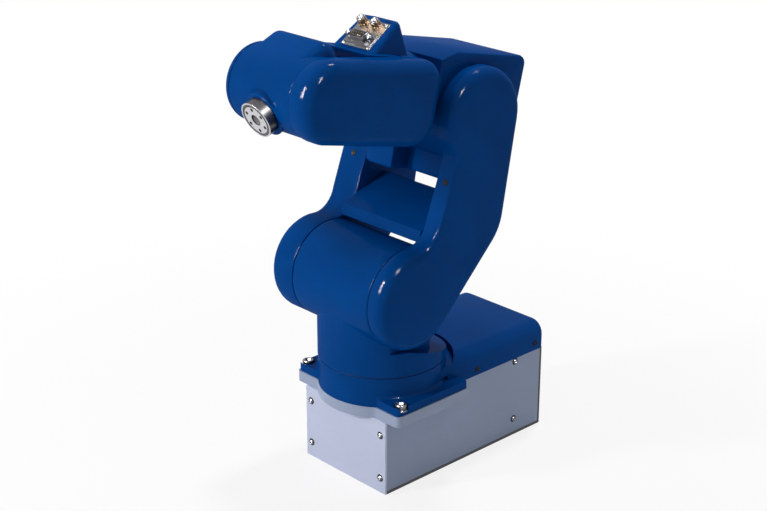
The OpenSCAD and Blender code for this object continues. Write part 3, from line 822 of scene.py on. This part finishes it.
class ARM_OT_stage(bpy.types.Operator):
    """Set up the floor, the lights and the camera"""

    bl_idname = "arm.stage"
    bl_label = "Stage"

    floor_size = 12.0
    floor_tone = (0.82, 0.82, 0.82)

    # Share of the lit floor that shows by the arm, and the reach over which it clears to white
    floor_share = 0.18
    clear_near = 0.25
    clear_far = 0.7

    # Name, place, size and power setting; the boxes show only in gloss
    lamps = (("key", (1.5, -0.6, 0.9), (0.11, 0.45), "key_power"),
             ("top", (-0.65, -0.15, 1.6), (0.2, 0.24), "top_power"),
             ("front_box", (1.47, -0.31, 1.1), (0.45, 0.75), "front_gloss"),
             ("side_box", (0.22, 1.04, 1.36), (0.25, 0.35), "side_gloss"))
    lamps_aim = (0.0, 0.0, 0.2)

    sensor_width = 36.0

    def execute(self, context):
        settings = context.scene.arm_stage
        self.floor()
        self.lights(settings)
        self.sky(settings)
        self.camera(settings)
        context.scene.view_settings.view_transform = "Standard"
        return {"FINISHED"}

    def floor(self):
        """A white floor that keeps the arm's shadow and clears to the background further out."""
        half = self.floor_size / 2.0
        corners = [(-half, -half, 0.0), (half, -half, 0.0), (half, half, 0.0), (-half, half, 0.0)]
        mesh = bpy.data.meshes.new("floor")
        mesh.from_pydata(corners, [], [(0, 1, 2, 3)])
        obj = bpy.data.objects.new("floor", mesh)
        bpy.context.scene.collection.objects.link(obj)
        finish = Finish("floor", Roughness=0.9, Specular_IOR_Level=0.0)
        cloud = finish.noise(scale=3.0)
        finish.set("Base Color", finish.shades(cloud, self.floor_tone, low=0.98, high=1.0))
        reach = finish.node("ShaderNodeVectorMath", {"operation": "LENGTH"}, finish.place,
                            out="Value")
        clear = reach.band(self.clear_near, self.clear_far)
        veil = finish.seen_directly() * (1.0 - self.floor_share * (1.0 - clear))
        lit = Value(finish, finish.shader.outputs[0])
        white = finish.node("ShaderNodeEmission", {}, Strength=1.0)
        surface = finish.node("ShaderNodeMixShader", {}, veil, lit, white)
        finish.feed(finish.tree.nodes["Material Output"].inputs["Surface"], surface)
        mesh.materials.append(finish.material)

    def lights(self, settings):
        """A lamp before the arm and one above, and two soft boxes that show only in its gloss."""
        aim = Vector(self.lamps_aim)
        for name, spot, size, power in self.lamps:
            lamp = bpy.data.lights.new(name, "AREA")
            lamp.shape = "RECTANGLE"
            lamp.size, lamp.size_y = size
            lamp.energy = getattr(settings, power)
            obj = bpy.data.objects.new(name, lamp)
            obj.location = spot
            obj.rotation_euler = (aim - obj.location).to_track_quat("-Z", "Y").to_euler()
            obj.visible_diffuse = not name.endswith("box")
            bpy.context.scene.collection.objects.link(obj)

    def sky(self, settings):
        """A white surround to the eye and in reflections, and an even fill for the rest."""
        world = bpy.data.worlds.new("studio")
        world.use_nodes = True
        nodes = Nodes(world.node_tree)
        back = world.node_tree.nodes["Background"]
        strength = nodes.seen_directly() * (1.0 - settings.fill) + settings.fill
        nodes.feed(back.inputs["Color"], (1.0, 1.0, 1.0, 1.0))
        nodes.feed(back.inputs["Strength"], strength)
        bpy.context.scene.world = world

    def camera(self, settings):
        lens = bpy.data.cameras.new("camera")
        lens.lens = settings.lens
        lens.sensor_width = self.sensor_width
        obj = bpy.data.objects.new("camera", lens)
        obj.location = settings.eye
        obj.rotation_euler = (settings.pitch, 0.0, settings.heading)
        bpy.context.scene.collection.objects.link(obj)
        bpy.context.scene.camera = obj


class ARM_PT_panel(bpy.types.Panel):
    """Settings and makers of the arm's looks"""

    bl_idname = "ARM_PT_panel"
    bl_label = "Robot arm"
    bl_space_type = "VIEW_3D"
    bl_region_type = "UI"
    bl_category = "Robot arm"

    def draw(self, context):
        for group in (getattr(context.scene, name) for name in SETTINGS):
            for name in group.bl_rna.properties.keys():
                if name not in ("rna_type", "name"):
                    self.layout.prop(group, name)
        for operator in OPERATORS:
            self.layout.operator(operator.bl_idname)


SETTINGS = {"arm_colours": ArmColours, "arm_sizes": ArmSizes, "arm_stage": StageSettings}
OPERATORS = (ARM_OT_castings, ARM_OT_plinth, ARM_OT_fittings, ARM_OT_panel_screws,
             ARM_OT_foot_bolts, ARM_OT_screw_plugs, ARM_OT_connector, ARM_OT_tool_ring,
             ARM_OT_receptacle, ARM_OT_stage)
CLASSES = (*SETTINGS.values(), *OPERATORS, ARM_PT_panel)


def register():
    for cls in CLASSES:
        bpy.utils.register_class(cls)
    for name, group in SETTINGS.items():
        setattr(bpy.types.Scene, name, PointerProperty(type=group))


def unregister():
    for name in SETTINGS:
        delattr(bpy.types.Scene, name)
    for cls in reversed(CLASSES):
        bpy.utils.unregister_class(cls)


def main():
    register()
    for operator in OPERATORS:
        group, name = operator.bl_idname.split(".")
        getattr(getattr(bpy.ops, group), name)()


if __name__ == "__main__":
    main()
